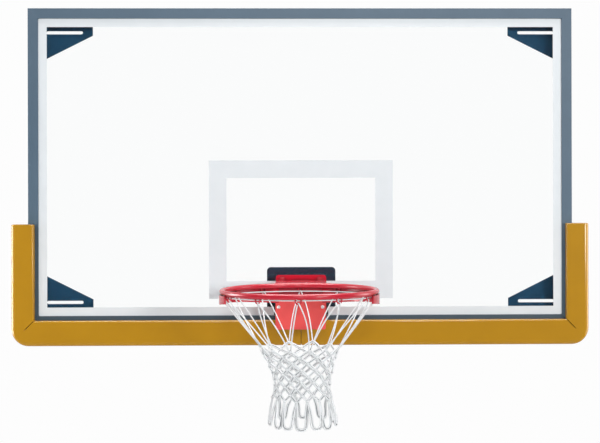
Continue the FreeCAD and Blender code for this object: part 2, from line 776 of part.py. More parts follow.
def net():
    """Twelve-fold diamond netting from the hooks to the hanging loops, as one closed skin."""
    knot = net_cord_width / math.sqrt(2)
    half = net_cord_thickness / 2
    rows = [(ring_mean_radius, hook_low_z - net_hang_gap - knot)]
    rows += [(r * ring_mean_radius, ring_z - d * net_drop)
             for r, d in zip(net_row_radius_shares, net_row_drop_shares)]
    step = 2 * math.pi / hook_count

    def knot_points(row, column):
        radius, z = rows[row]
        angle = step * (column + (row % 2) / 2) - math.pi / 2
        points = {}
        for name, across, up in (("north", 0, knot), ("east", knot, 0), ("south", 0, -knot),
                                 ("west", -knot, 0)):
            for skin, depth in (("outer", half), ("inner", -half)):
                reach = radius + depth
                points[name, skin] = vec(reach * math.cos(angle) - across * math.sin(angle),
                                         ring_y + reach * math.sin(angle) + across * math.cos(angle), z + up)
        return points

    knots = {(r, c): knot_points(r, c) for r in range(len(rows)) for c in range(hook_count)}
    faces = []

    def strand(upper, upper_side, lower, lower_side):
        side = [(upper[upper_side, s], lower["north", s]) for s in ("outer", "inner")]
        inside = [(upper["south", s], lower[lower_side, s]) for s in ("outer", "inner")]
        for (a, b), (d, c) in ((side[0], inside[0]), (side[1], inside[1]), (side[0], side[1]),
                               (inside[0], inside[1])):
            faces.extend(triangles(a, b, c, d))

    def closed(points, first, second):
        faces.extend(triangles(points[first, "outer"], points[second, "outer"],
                               points[second, "inner"], points[first, "inner"]))

    last = len(rows) - 1
    for (row, column), points in knots.items():
        for skin in ("outer", "inner"):
            faces.extend(triangles(*[points[name, skin] for name in ("north", "east", "south", "west")]))
        if row == 0:
            closed(points, "north", "east")
            closed(points, "west", "north")
        if row == last:
            closed(points, "east", "south")
            closed(points, "south", "west")
            continue
        right = (column + row % 2) % hook_count
        left = (column - 1 + row % 2) % hook_count
        strand(points, "east", knots[row + 1, right], "west")
        strand(points, "west", knots[row + 1, left], "east")
    skin = Part.makeShell(faces)
    skin.sewShape()
    solid = Part.makeSolid(skin)
    if solid.Volume < 0:
        solid.reverse()
    return solid


def edge_pad(side):
    """Half of the bottom padding and one side, a channel that grips the frame's edge."""
    outer_x = half_width + pad_side
    outer_z = bottom_z - pad_bottom
    top_z = bottom_z + pad_height
    seam = pad_seam_gap / 2
    inner_x = half_width - pad_side_overlap
    inner_z = bottom_z + pad_bottom_overlap
    outline = [(seam, outer_z), (outer_x, outer_z), (outer_x, top_z), (inner_x, top_z),
               (inner_x, inner_z), (seam, inner_z)]
    pad = prism_y([(side * x, z) for x, z in outline], pad_front_y, pad_rear_y)
    pad = round_edges_y(pad, pad_corner_radius, lambda x, z: abs(x) > half_width and z < bottom_z)
    slack = overrun / 2
    front_edges = []
    for edge in pad.Edges:
        box = edge.BoundBox
        middle = edge.valueAt((edge.FirstParameter + edge.LastParameter) / 2)
        outside = abs(middle.x) > half_width or middle.z < bottom_z or middle.z > top_z - slack
        if box.YMax < pad_front_y + slack and outside:
            front_edges.append(edge)
    pad = pad.makeFillet(pad_edge_radius, front_edges)
    x0, x1 = sorted((0, side * (half_width + fit_gap)))
    cavity = block(x0, x1, frame_front_y, frame_rear_y, bottom_z - fit_gap, top_z + overrun)
    x0, x1 = sorted((0, side * (half_width - pad_rear_overlap)))
    rear = block(x0, x1, frame_rear_y - overrun, pad_rear_y + overrun, bottom_z + pad_rear_overlap,
                 top_z + overrun)
    holes = pad_screw_rods(pad_screw_diameter / 2 + fit_gap, 0, -pad_screw_depth - fit_gap)
    return cut_all(pad.cut(cavity).cut(rear), holes)


def pad_screws():
    """Hexagon heads inside the frame, shanks out through the web into the pads."""
    heads = []
    radius = pad_screw_head_across / 2 * hex_corner_share
    ring_of_six = [vec(radius * math.cos(math.pi / 3 * k), radius * math.sin(math.pi / 3 * k), 0)
                   for k in range(7)]
    for shank in pad_screw_rods(pad_screw_diameter / 2, frame_wall, -pad_screw_depth):
        sideways = shank.BoundBox.XLength > shank.BoundBox.ZLength
        head = Part.Face(Part.makePolygon(ring_of_six)).extrude(vec(0, 0, pad_screw_head_height))
        centre = shank.BoundBox.Center
        if sideways:
            turn = -90 if centre.x > 0 else 90
            head.rotate(vec(0, 0, 0), vec(0, 1, 0), turn)
            edge_x = math.copysign(half_width - frame_wall, centre.x)
            head.translate(vec(edge_x, centre.y, centre.z))
        else:
            head.translate(vec(centre.x, centre.y, bottom_z + frame_wall))
        heads.append(shank.fuse(head))
    return heads


def build():
    parts = {
        "glass_panel": glass_panel(),
        "glazing_gasket": glazing_gasket(),
        "border_marking": border_marking(),
        "target_marking": target_marking(),
        "corner_plate_bolts": group([corner_bolt(x, z, 0) for x, z in all_corner_bolt_places]),
        "corner_plate_nuts": group(corner_plate_nuts()),
        "goal_mount_plate": goal_mount_plate(),
        "goal_mount_bolts": group(goal_mount_bolts()),
        "goal_mount_nuts": group(goal_mount_nuts()),
        "glass_grommets": group(glass_grommets()),
        "spacer_sleeves": group(spacer_sleeves()),
        "rim_backing_pad": rim_backing_pad(),
        "rim_back_plate": rim_back_plate(),
        "goal_bolts": group(goal_bolts()),
        "goal_washers": group(goal_washers()),
        "goal_lock_nuts": group(goal_lock_nuts()),
        "hinge_pin": hinge_pin(),
        "hinge_pin_clips": group(hinge_pin_clips()),
        "hinge_bushings": group(hinge_bushings()),
        "top_plate": top_plate(),
        "face_plate": face_plate(),
        "stop_bumper": stop_bumper(),
        "rear_spring_seats": group(rear_spring_seats()),
        "front_spring_cups": group(front_spring_cups()),
        "ring": ring(),
        "net_hooks": group(net_hooks()),
        "net": net(),
        "pad_screws": group(pad_screws()),
    }
    for side in ("top", "bottom", "left", "right"):
        parts[side + "_rail"] = rail(side)
    for name, (side_x, side_z) in corners.items():
        parts["corner_plate_" + name] = corner_plate(side_x, side_z)
    for name, side in (("left", -1), ("right", 1)):
        parts["hinge_lug_" + name] = hinge_lug(side)
        parts["side_web_" + name] = side_web(side)
        parts["release_spring_" + name] = release_spring(side)
        parts["ring_brace_" + name] = ring_brace(side)
        parts["edge_pad_" + name] = edge_pad(side)
    return parts


os.makedirs("parts", exist_ok=True)
for node, shape in build().items():
    shape.exportStep(os.path.join("parts", node + ".step"))
    print(node, len(shape.Solids), "solids", "valid" if shape.isValid() else "INVALID", round(shape.Volume))
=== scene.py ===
import math
import random

import bmesh
import bpy
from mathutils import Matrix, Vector


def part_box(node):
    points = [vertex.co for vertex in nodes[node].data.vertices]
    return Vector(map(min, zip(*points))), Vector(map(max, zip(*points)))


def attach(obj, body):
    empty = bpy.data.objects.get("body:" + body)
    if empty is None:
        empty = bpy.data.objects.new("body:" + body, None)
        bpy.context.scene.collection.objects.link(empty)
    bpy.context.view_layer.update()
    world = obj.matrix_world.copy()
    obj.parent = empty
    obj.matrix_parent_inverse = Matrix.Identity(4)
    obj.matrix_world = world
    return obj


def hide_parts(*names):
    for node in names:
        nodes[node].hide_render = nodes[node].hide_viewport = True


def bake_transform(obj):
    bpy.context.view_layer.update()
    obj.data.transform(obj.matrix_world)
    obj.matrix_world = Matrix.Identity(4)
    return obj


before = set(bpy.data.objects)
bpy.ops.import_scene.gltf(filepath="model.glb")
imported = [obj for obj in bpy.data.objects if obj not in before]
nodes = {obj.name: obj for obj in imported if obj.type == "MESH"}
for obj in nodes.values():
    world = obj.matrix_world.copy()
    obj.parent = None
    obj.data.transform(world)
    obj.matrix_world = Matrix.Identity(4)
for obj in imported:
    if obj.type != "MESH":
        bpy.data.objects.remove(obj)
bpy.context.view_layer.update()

# A glass basketball backboard with a breakaway rim and gold edge padding.
# Metres, X right, Y to the rear, Z up. The player stands at -Y.
MM = 0.001
tiny = 0.01 * MM
full_turn = 2 * math.pi
scene = bpy.context.scene

# Sizes that the frame gives
frame_edge_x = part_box("right_rail")[1].x
frame_edge_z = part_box("bottom_rail")[0].z
glass_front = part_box("glass_panel")[0].y
pad_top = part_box("edge_pad_left")[1].z
ring_low, ring_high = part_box("ring")
rod_radius = (ring_high.z - ring_low.z) / 2
ring_radius = (ring_high.x - ring_low.x) / 2 - rod_radius
ring_middle = (ring_low + ring_high) / 2
hook_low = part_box("net_hooks")[0].z

# Camera, level, a little under the board's middle and to its right, and turned about a degree
photo_width = 600
photo_height = 443
focal_px = 1246.5
horizon_px = 196.3
board_middle_px = 300.9
camera_distance = 4.2
camera_height = -0.0994
camera_right = 0.055
camera_yaw = math.radians(0.93)
camera_roll = math.radians(0.13)
sensor = 36.0
lens = bpy.data.cameras.new("camera")
lens.sensor_width = sensor
lens.lens = sensor * focal_px / photo_width
off_axis = math.atan(camera_right / camera_distance) + camera_yaw
lens.shift_x = (photo_width / 2 - board_middle_px - math.tan(off_axis) * focal_px) / photo_width
lens.shift_y = (horizon_px - photo_height / 2) / photo_width
camera = bpy.data.objects.new("camera", lens)
camera.location = (camera_right, glass_front - camera_distance, camera_height)
camera.rotation_euler = (math.pi / 2, camera_roll, -camera_yaw)
scene.collection.objects.link(camera)
scene.camera = camera
scene.view_settings.view_transform = "Standard"


def linear(hex_colour):
    """An sRGB hex colour as the linear values that a socket takes."""
    channels = [int(hex_colour[k:k + 2], 16) / 255 for k in (1, 3, 5)]
    return [c / 12.92 if c <= 0.04045 else ((c + 0.055) / 1.055) ** 2.4 for c in channels] + [1.0]


def add_node(tree, kind, sockets=None, **settings):
    """One node with its settings. A socket takes a value, or the output that feeds it."""
    node = tree.nodes.new(kind)
    for name, value in settings.items():
        setattr(node, name, value)
    for name, value in (sockets or {}).items():
        if isinstance(value, bpy.types.NodeSocket):
            tree.links.new(value, node.inputs[name])
        else:
            node.inputs[name].default_value = value
    return node


def start_finish(name, **shader):
    """A material with one Principled shader, and the object coordinates that its patterns read."""
    finish = bpy.data.materials.new(name)
    finish.use_nodes = True
    tree = finish.node_tree
    tree.nodes.clear()
    sockets = {key.replace("_", " "): value for key, value in shader.items()}
    skin = add_node(tree, "ShaderNodeBsdfPrincipled", sockets)
    add_node(tree, "ShaderNodeOutputMaterial", {"Surface": skin.outputs[0]})
    place = add_node(tree, "ShaderNodeTexCoord").outputs["Object"]
    return finish, tree, skin, place


def mottle(tree, skin, place, tones, patch, rough, grain, relief, edge=0.0):
    """Colour that drifts between two tones, roughness that varies, and relief of a given grain."""
    drift = add_node(tree, "ShaderNodeTexNoise",
                     {"Vector": place, "Scale": 1 / patch, "Detail": 4.0})
    tone = add_node(tree, "ShaderNodeMix",
                    {0: drift.outputs[0], 6: linear(tones[0]), 7: linear(tones[1])},
                    data_type="RGBA")
    fine = add_node(tree, "ShaderNodeTexNoise",
                    {"Vector": place, "Scale": 1 / grain, "Detail": 2.0})
    sheen = add_node(tree, "ShaderNodeMapRange",
                     {"Value": fine.outputs[0], "To Min": rough[0], "To Max": rough[1]})
    bump = {"Height": fine.outputs[0], "Strength": 0.35, "Distance": relief}
    if edge:
        bump["Normal"] = add_node(tree, "ShaderNodeBevel", {"Radius": edge}, samples=4).outputs[0]
    relief_node = add_node(tree, "ShaderNodeBump", bump)
    for socket, source in (("Base Color", tone.outputs[2]), ("Roughness", sheen.outputs[0]),
                           ("Normal", relief_node.outputs[0])):
        tree.links.new(source, skin.inputs[socket])


def paint_crevice_shade(tree, skin, colour, reach, shut, clear):
    """Painted shade: the colour darkens where surfaces meet, by ambient occlusion."""
    tone = skin.inputs["Base Color"].links[0].from_socket
    gap = add_node(tree, "ShaderNodeAmbientOcclusion", {"Distance": reach}, samples=8).outputs["AO"]
    unshaded_share = add_node(tree, "ShaderNodeMapRange",
                     {"Value": gap, "From Min": shut, "From Max": clear})
    crevice_shaded = add_node(tree, "ShaderNodeMix", {0: unshaded_share.outputs[0], 6: linear(colour), 7: tone},
                      data_type="RGBA")
    tree.links.new(crevice_shaded.outputs[2], skin.inputs["Base Color"])


def shade_by_height(finish, colour, shaded, clear):
    """Painted shade: a darker second colour over the coat, from full at one height to nothing at
    another.
    """
    tree = finish.node_tree
    skin = next(n for n in tree.nodes if n.type == "BSDF_PRINCIPLED")
    tone = skin.inputs["Base Color"].links[0].from_socket
    place = next(n for n in tree.nodes if n.type == "TEX_COORD").outputs["Object"]
    height = add_node(tree, "ShaderNodeSeparateXYZ", {0: place}).outputs["Z"]
    cover = add_node(tree, "ShaderNodeMapRange",
                     {"Value": height, "From Min": shaded, "From Max": clear,
                      "To Min": 1.0, "To Max": 0.0})
    mixed = add_node(tree, "ShaderNodeMix", {0: cover.outputs[0], 6: tone, 7: linear(colour)},
                     data_type="RGBA")
    tree.links.new(mixed.outputs[2], skin.inputs["Base Color"])


def powder_coat(name, tones, rough, shine, crevice_shade=None):
    # Powder coat baked on metal: an even satin colour that drifts a little, with an orange peel
    # that is drawn at 5 mm, coarser than the real 1 mm, so that it shows. The coat rounds edges.
    finish, tree, skin, place = start_finish(name, IOR=1.5, Specular_IOR_Level=shine)
    mottle(tree, skin, place, tones, patch=90 * MM, rough=rough, grain=5 * MM, relief=0.12 * MM,
           edge=1.2 * MM)
    # Painted shade: given a crevice colour, the coat darkens where surfaces meet.
    if crevice_shade:
        paint_crevice_shade(tree, skin, crevice_shade, reach=16 * MM, shut=0.35, clear=0.9)
    return finish


def bare_metal(name, tones, patch, rough):
    # Plated or drawn metal: a cool reflection, cloudy from the plating bath, with fine tool marks.
    finish, tree, skin, place = start_finish(name, Metallic=1.0)
    mottle(tree, skin, place, tones, patch=patch, rough=rough, grain=1.5 * MM, relief=0.05 * MM,
           edge=0.4 * MM)
    return finish


def moulded_rubber(name, tones):
    # Moulded rubber: dull, with a fine pebble from the mould and a grey bloom in patches.
    finish, tree, skin, place = start_finish(name, IOR=1.52)
    mottle(tree, skin, place, tones, patch=30 * MM, rough=(0.6, 0.78), grain=2.5 * MM,
           relief=0.2 * MM)
    return finish


def fired_enamel(name, tones):
    # White ceramic frit screened on the glass and fired: dense, a cool white with a low gloss.
    finish, tree, skin, place = start_finish(name, IOR=1.5)
    mottle(tree, skin, place, tones, patch=60 * MM, rough=(0.3, 0.42), grain=3 * MM,
           relief=0.03 * MM)
    return finish


def tempered_glass(name):
    # Float glass, tempered: clear, a breath of green in its body, long soft waves from the rollers.
    # Lamps shine through it, as they do through a real pane.
    finish, tree, skin, place = start_finish(name, Base_Color=linear("#FEFFFF"), Roughness=0.0,
                                             IOR=1.25, Transmission_Weight=1.0)
    lamp = add_node(tree, "ShaderNodeLightPath").outputs["Is Shadow Ray"]
    clear = add_node(tree, "ShaderNodeBsdfTransparent", {"Color": linear("#FBFEFD")})
    pane = add_node(tree, "ShaderNodeMixShader", {0: lamp, 1: skin.outputs[0], 2: clear.outputs[0]})
    out = next(n for n in tree.nodes if n.type == "OUTPUT_MATERIAL")
    tree.links.new(pane.outputs[0], out.inputs["Surface"])
    waves = add_node(tree, "ShaderNodeTexNoise",
                     {"Vector": place, "Scale": 1 / (160 * MM), "Detail": 1.0})
    bump = add_node(tree, "ShaderNodeBump",
                    {"Height": waves.outputs[0], "Strength": 0.1, "Distance": 0.2 * MM})
    tree.links.new(bump.outputs[0], skin.inputs["Normal"])
    return finish


def skinned_foam(name, tones):
    # Urethane foam moulded with its own skin, gold all through: satin, with a fine leather pebble
    # from the mould, drawn at 4 mm so that it shows, and flow drifts along the moulding.
    finish, tree, skin, place = start_finish(name, IOR=1.48, Specular_IOR_Level=0.05,
                                             Coat_Weight=0.6, Coat_Roughness=0.16, Coat_IOR=1.55)
    mottle(tree, skin, place, tones, patch=120 * MM, rough=(0.3, 0.44), grain=4 * MM,
           relief=0.18 * MM)
    # Painted shade: the colour darkens in the mitre and the seam.
    paint_crevice_shade(tree, skin, "#5A4110", reach=8 * MM, shut=0.35, clear=0.8)
    return finish


def nylon_cord(name, tones):
    # Braided nylon: white, soft and matt, with the crossing strands of the braid drawn at 2.2 mm.
    finish, tree, skin, place = start_finish(name, IOR=1.53, Sheen_Weight=0.25, Sheen_Roughness=0.5)
    mottle(tree, skin, place, tones, patch=14 * MM, rough=(0.5, 0.66), grain=2.2 * MM,
           relief=0.5 * MM)
    # Painted shade: the colour turns grey in the crevices between strands.
    paint_crevice_shade(tree, skin, "#4A525A", reach=14 * MM, shut=0.4, clear=0.9)
    return finish


slate_coat = {"tones": ("#52687A", "#4A6072"), "rough": (0.36, 0.48), "shine": 0.4}
slate = powder_coat("slate powder coat", **slate_coat)
pad_shaded_slate = powder_coat("slate powder coat with painted pad shade", **slate_coat)
# Painted shade: the strip of rail that the pads leave bare is painted darker, as the shade beside
# the pads.
shade_by_height(pad_shaded_slate, "#3C4E5B", shaded=pad_top - 10 * MM, clear=pad_top + 4 * MM)
navy = powder_coat("navy powder coat", ("#0F354C", "#0A2C42"), rough=(0.45, 0.6), shine=0.04)
charcoal = powder_coat("charcoal powder coat", ("#1B2835", "#16202D"), rough=(0.45, 0.6),
                       shine=0.04)
# Painted shade: the red coats darken in the joints between parts.
red_crevice_shade = "#6A0A16"
red = powder_coat("red powder coat", ("#D21F36", "#C4192F"), rough=(0.2, 0.3), shine=0.5,
                  crevice_shade=red_crevice_shade)
back_red = powder_coat("red powder coat on back plate", ("#D21A33", "#C4142C"), rough=(0.4, 0.52),
                       shine=0.08, crevice_shade=red_crevice_shade)
# Painted light: the face plate's red is a lighter copy of the ring's red, for the light it catches
# facing the front.
plate_red_painted_light_and_shade = powder_coat("red powder coat on plate with painted light and shade", ("#F65A58", "#EC5050"), rough=(0.34, 0.46),
                        shine=0.3)
# Painted shade: the face plate's top strip, level with the ring, is painted the deep red of the
# parts round it, as the shade under the ring and top plate.
shade_by_height(plate_red_painted_light_and_shade, "#9C1A2A", shaded=ring_low.z - 30 * MM, clear=ring_low.z - 36 * MM)
frit = fired_enamel("white ceramic frit", ("#E8ECEF", "#E0E6E9"))
glass = tempered_glass("tempered glass")
glazing_rubber = moulded_rubber("grey glazing rubber", ("#4A5A66", "#414F5A"))
black_rubber = moulded_rubber("black rubber", ("#26282A", "#1D1F21"))
zinc = bare_metal("zinc plated steel", ("#C4C7C9", "#AEB2B5"), patch=8 * MM, rough=(0.28, 0.42))
spring_steel = bare_metal("oil tempered spring steel", ("#6E7276", "#585C60"), patch=12 * MM,
                          rough=(0.3, 0.45))
bright_zinc = bare_metal("bright zinc plated steel", ("#F2F3F4", "#E4E6E8"), patch=8 * MM,
                         rough=(0.5, 0.6))
bronze = bare_metal("sintered bronze", ("#B98A52", "#9C7040"), patch=5 * MM, rough=(0.35, 0.5))
foam = skinned_foam("gold skinned urethane foam", ("#BD8A10", "#AF7E0B"))
cord = nylon_cord("white braided nylon", ("#F8F9FA", "#EAEEF0"))

finishes = {
    slate: ["top_rail", "right_rail"],
    pad_shaded_slate: ["bottom_rail", "left_rail"],
    navy: ["corner_plate_top_left", "corner_plate_top_right", "corner_plate_bottom_left",
           "corner_plate_bottom_right"],
    charcoal: ["goal_mount_plate"],
    red: ["ring", "ring_brace_left", "ring_brace_right", "top_plate", "side_web_left",
          "side_web_right", "hinge_lug_left", "hinge_lug_right", "net_hooks", "front_spring_cups",
          "rear_spring_seats", "goal_bolts"],
    back_red: ["rim_back_plate"],
    plate_red_painted_light_and_shade: ["face_plate"],
    frit: ["border_marking", "target_marking"],
    glass: ["glass_panel"],
    glazing_rubber: ["glazing_gasket"],
    black_rubber: ["rim_backing_pad", "glass_grommets", "stop_bumper"],
    zinc: ["corner_plate_bolts", "corner_plate_nuts", "goal_mount_bolts", "goal_mount_nuts",
           "goal_washers", "goal_lock_nuts", "spacer_sleeves", "hinge_pin", "hinge_pin_clips",
           "pad_screws"],
    bronze: ["hinge_bushings"],
}
for finish, names in finishes.items():
    for name in names:
        for place in nodes[name].material_slots:
            place.material = finish


def mesh_from(bm, name):
    """The finished bmesh as a mesh of its own."""
    mesh = bpy.data.meshes.new(name)
    bm.to_mesh(mesh)
    bm.free()
    return mesh


def add_piece(name, mesh, finish, smooth_angle):
    """A new object at the origin with one finish, smooth but for edges sharper than the angle."""
    mesh.materials.clear()
    mesh.materials.append(finish)
    mesh.shade_smooth()
    mesh.set_sharp_from_angle(angle=math.radians(smooth_angle))
    piece = bpy.data.objects.new(name, mesh)
    scene.collection.objects.link(piece)
    return piece


# Edge pads: an L-shaped foam channel each side, round at the outside corner and front edges
pad_front_thickness = 25 * MM
pad_rear_lip = 6 * MM
pad_side_overlap = 23 * MM
pad_bottom_overlap = 20 * MM
pad_rear_overlap = 14 * MM
pad_fit = 0.2 * MM
pad_corner_radius, pad_corner_segments = 58 * MM, 12
pad_edge_radius, pad_edge_segments = 14 * MM, 6
pad_mouth_radius, pad_mouth_segments = 6 * MM, 5
pad_soft_edge, pad_soft_segments = 4.5 * MM, 5
pad_sharp_angle = math.radians(40)
pad_flush_angle = math.radians(1)
pad_smooth_angle = 20
# A thin strip inside each large flat face keeps the rounding's shading off it.
pad_edge_hold = 1.0 * MM
pad_flat_area = 0.004
# The mitre is a groove from the mouth's corner, at full depth for most of its run.
mitre_length = 45 * MM
mitre_width = 3 * MM
mitre_depth = 3 * MM
mitre_run = 0.85


def near(a, b):
    """Whether two measures agree."""
    return abs(a - b) < tiny


def round_edges(bm, edges, radius, segments, clamp=False):
    """Edges made round, in a number of facets."""
    bmesh.ops.bevel(bm, geom=edges, offset=radius, offset_type="OFFSET", affect="EDGES",
                    segments=segments, profile=0.5, material=-1, clamp_overlap=clamp)


def edge_pad(side, node):
    """The pad round the frame's lower corner on one side."""
    low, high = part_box(node)
    outer_x = max(abs(low.x), abs(high.x))
    seam_x = min(abs(low.x), abs(high.x))
    channel_x = frame_edge_x + pad_fit
    channel_z = frame_edge_z - pad_fit
    mouth_x = frame_edge_x - pad_side_overlap
    mouth_z = frame_edge_z + pad_bottom_overlap
    lip_rear = high.y - pad_rear_lip
    lip_front = low.y + pad_front_thickness

    # The L outside the channel, drawn out from the rear by rear lip, channel and front lip
    bm = bmesh.new()
    outline = ((seam_x, low.z), (outer_x, low.z), (outer_x, high.z), (channel_x, high.z),
               (channel_x, channel_z), (seam_x, channel_z))
    section = [bm.faces.new([bm.verts.new((side * x, high.y, z)) for x, z in outline])]
    for step, depth in enumerate((pad_rear_lip, lip_rear - lip_front, pad_front_thickness)):
        grown = bmesh.ops.extrude_face_region(bm, geom=section)["geom"]
        if step:
            bmesh.ops.delete(bm, geom=section, context="FACES")
        section = [f for f in grown if isinstance(f, bmesh.types.BMFace)]
        bmesh.ops.translate(bm, vec=(0, -depth, 0),
                            verts=list({v for f in section for v in f.verts}))

    # Both lips, drawn inwards from the channel's wall
    def lip_wall(face, front, rear):
        on_wall = all(near(abs(v.co.x), channel_x) or near(v.co.z, channel_z) for v in face.verts)
        in_lip = all(front - tiny < v.co.y < rear + tiny for v in face.verts)
        upright = abs(face.normal.y) < 0.5
        return on_wall and in_lip and upright and not near(face.calc_center_median().z, high.z)

    fit_x, fit_z = channel_x - frame_edge_x, frame_edge_z - channel_z
    for front, rear, reach_x, reach_z in (
            (low.y, lip_front, fit_x + pad_side_overlap, fit_z + pad_bottom_overlap),
            (lip_rear, high.y, fit_x + pad_rear_overlap, fit_z + pad_rear_overlap)):
        walls = [f for f in bm.faces if lip_wall(f, front, rear)]
        grown = bmesh.ops.extrude_face_region(bm, geom=walls)["geom"]
        bmesh.ops.delete(bm, geom=walls, context="FACES")
        for v in [g for g in grown if isinstance(g, bmesh.types.BMVert)]:
            inward = near(abs(v.co.x), channel_x), near(v.co.z, channel_z)
            v.co.x -= side * reach_x * inward[0]
            v.co.z += reach_z * inward[1]
    bmesh.ops.dissolve_limit(bm, angle_limit=pad_flush_angle, verts=bm.verts[:], edges=bm.edges[:])

    # The outside corner, the outer front edge, the mouth, and then every edge that is still sharp
    corner_edges = [e for e in bm.edges
                    if all(near(abs(v.co.x), outer_x) and near(v.co.z, low.z) for v in e.verts)]
    round_edges(bm, corner_edges, pad_corner_radius, pad_corner_segments)
    front_edges = [e for e in bm.edges if all(near(v.co.y, low.y) for v in e.verts)]
    outer_edges = []
    for e in front_edges:
        middle = (e.verts[0].co + e.verts[1].co) / 2
        outside = abs(middle.x) > channel_x or middle.z < channel_z
        cut_end = near(abs(middle.x), seam_x) or near(middle.z, high.z)
        if outside and not cut_end:
            outer_edges.append(e)
    round_edges(bm, outer_edges, pad_edge_radius, pad_edge_segments)
    front_edges = [e for e in bm.edges if all(near(v.co.y, low.y) for v in e.verts)]
    mouth_edges = [e for e in front_edges if all(near(abs(v.co.x), mouth_x) for v in e.verts)
                   or all(near(v.co.z, mouth_z) for v in e.verts)]
    round_edges(bm, mouth_edges, pad_mouth_radius, pad_mouth_segments)
    bmesh.ops.recalc_face_normals(bm, faces=bm.faces[:])
    sharp_edges = [e for e in bm.edges if e.calc_face_angle() > pad_sharp_angle]
    round_edges(bm, sharp_edges, pad_soft_edge, pad_soft_segments, clamp=True)
    bmesh.ops.remove_doubles(bm, verts=bm.verts[:], dist=tiny)
    flat = [f for f in bm.faces if f.calc_area() > pad_flat_area]
    bmesh.ops.inset_individual(bm, faces=flat, thickness=pad_edge_hold, use_even_offset=False)

    # The mitre, cut into the front face from the mouth's corner towards the outside corner
    mitre_start = Vector((side * mouth_x, low.y, mouth_z))
    across = Vector((side, 0, 1)).normalized()
    outward = Vector((side, 0, -1)).normalized()
    cuts = [(mitre_start + across * mitre_width * share, across) for share in (-0.5, 0, 0.5)]
    cuts += [(mitre_start + outward * mitre_length * share, outward) for share in (mitre_run, 1)]
    for place, normal in cuts:
        bmesh.ops.bisect_plane(bm, geom=bm.verts[:] + bm.edges[:] + bm.faces[:], dist=tiny,
                               plane_co=place, plane_no=normal)
    bm.normal_update()
    for v in bm.verts:
        reach = (v.co - mitre_start).dot(outward) / mitre_length
        on_front = v.co.y < low.y + pad_mouth_radius + tiny
        if on_front and near((v.co - mitre_start).dot(across), 0) and reach < 1:
            v.co -= v.normal * mitre_depth * min((1 - reach) / (1 - mitre_run), 1)
    bmesh.ops.recalc_face_normals(bm, faces=bm.faces[:])
    mesh = mesh_from(bm, node + "_foam")
    pad = add_piece(node + "_foam", mesh, foam, pad_smooth_angle)
    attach(pad, "backboard")
    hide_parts(node)


for side, node in ((-1, "edge_pad_left"), (1, "edge_pad_right")):
    edge_pad(side, node)

# Net: twelve loops on the hooks, nine rows of knots with doubled cord between them, a doubled
# loop under each pair of knots in the last row, and a thin header cord round under the ring
net_columns = 12
net_drop = 415 * MM
knot_rows = 9
first_knot_share = 0.408
last_knot_share = 0.788
net_row_radius_shares = (0.535, 0.482, 0.437, 0.405, 0.383, 0.369, 0.361, 0.363, 0.374, 0.436)
cord_radius = 2.6 * MM
cord_spacing = 5.2 * MM
cord_roundness, cord_steps, cord_order = 1, 4, 3
net_smooth_angle = 60
hook_wire = 4 * MM
# The columns gather towards the front, and the throat hangs a little to the right.
net_gather, full_gather_share = 0.26, 0.85
net_sway, sway_start_share, sway_run_share = 8 * MM, 0.36, 0.3
# Hook loops: thinner single cord that bows out on its way to the first knots
hook_cord_size = 0.8
hook_shoulder = 3 * MM
hook_knot_offset = 1.5 * MM
hook_bow, hook_bow_play, hook_upper_bow = 6 * MM, 5 * MM, 1.2
# Strands between knots: they part in the middle, and one of each crossing pair lies in front
bow_shares = (0.3, 0.7)
strand_part_play = 0.2
strand_lift, strand_lift_play = 1.2 * MM, 0.6 * MM
strand_knot_share = 0.55
# Knots: two tilted turns of cord, each knot slipped a little from its even place
knot_slip = 3 * MM
knot_radius = 3.3 * MM
knot_tilts = (-0.6, 0.5)
knot_points = 6
# Bottom loops: they hang nearly straight, then turn in a narrow round end
loop_half, loop_half_play = 13 * MM, 2 * MM
loop_lift, loop_lift_play = 10 * MM, 4 * MM
loop_lean_play = 4 * MM
loop_strand_play = 0.5 * MM
loop_arm_share, loop_end_share = 1.15, 0.8
loop_top_rise, loop_top_tuck = 56 * MM, 7 * MM
loop_side_rise, loop_side_tuck = 18 * MM, 1 * MM
# Header cord: thinner, and lower at the rear
header_sag = 8 * MM
header_size = 0.7

loose = random.Random(12)
knot_step = (last_knot_share - first_knot_share) / (knot_rows - 1)
net_row_drop_shares = [first_knot_share + knot_step * k for k in range(knot_rows)] + [1.0]
net_rows = [(ring_radius, hook_low, 0)]
net_rows += [(r * ring_radius, ring_middle.z - d * net_drop, d)
             for r, d in zip(net_row_radius_shares, net_row_drop_shares)]
last = len(net_rows) - 1
net_curve = bpy.data.curves.new("net", "CURVE")
net_curve.dimensions = "3D"
net_curve.bevel_depth = cord_radius
net_curve.bevel_resolution = cord_roundness
net_curve.resolution_u = cord_steps
net_curve.use_fill_caps = True


def jitter(size):
    """A random offset, either way."""
    return loose.uniform(-size, size)


knot_slack = {(row, column): [jitter(knot_slip) for _ in range(3)]
              for row in range(1, len(net_rows)) for column in range(net_columns)}


def net_place(row, column, out=0.0, along=0.0, up=0.0):
    """A point by a knot: out from the axis, along the row to the right, and up."""
    radius, height, drop = net_rows[row]
    angle = full_turn / net_columns * (column + (row % 2) / 2)
    angle -= net_gather * min(drop / full_gather_share, 1) * math.sin(angle) + math.pi / 2
    slack = knot_slack.get((row, column % net_columns), (0, 0, 0))
    out, along, up = out + slack[0], along + slack[1], up + slack[2]
    outward = Vector((math.cos(angle), math.sin(angle), 0))
    sideways = Vector((-math.sin(angle), math.cos(angle), 0))
    sway = net_sway * min(max(drop - sway_start_share, 0) / sway_run_share, 1)
    base = Vector((ring_middle.x + sway, ring_middle.y, height))
    return base + outward * (radius + out) + sideways * along + Vector((0, 0, up))


def lay_cord(points, closed=False, size=1.0):
    """One run of cord along the points, in a share of the full thickness."""
    line = net_curve.splines.new("NURBS")
    line.points.add(len(points) - 1)
    for point, place in zip(line.points, points):
        point.co = (*place, 1.0)
        point.radius = size
    line.use_cyclic_u = closed
    line.use_endpoint_u = not closed
    line.order_u = cord_order


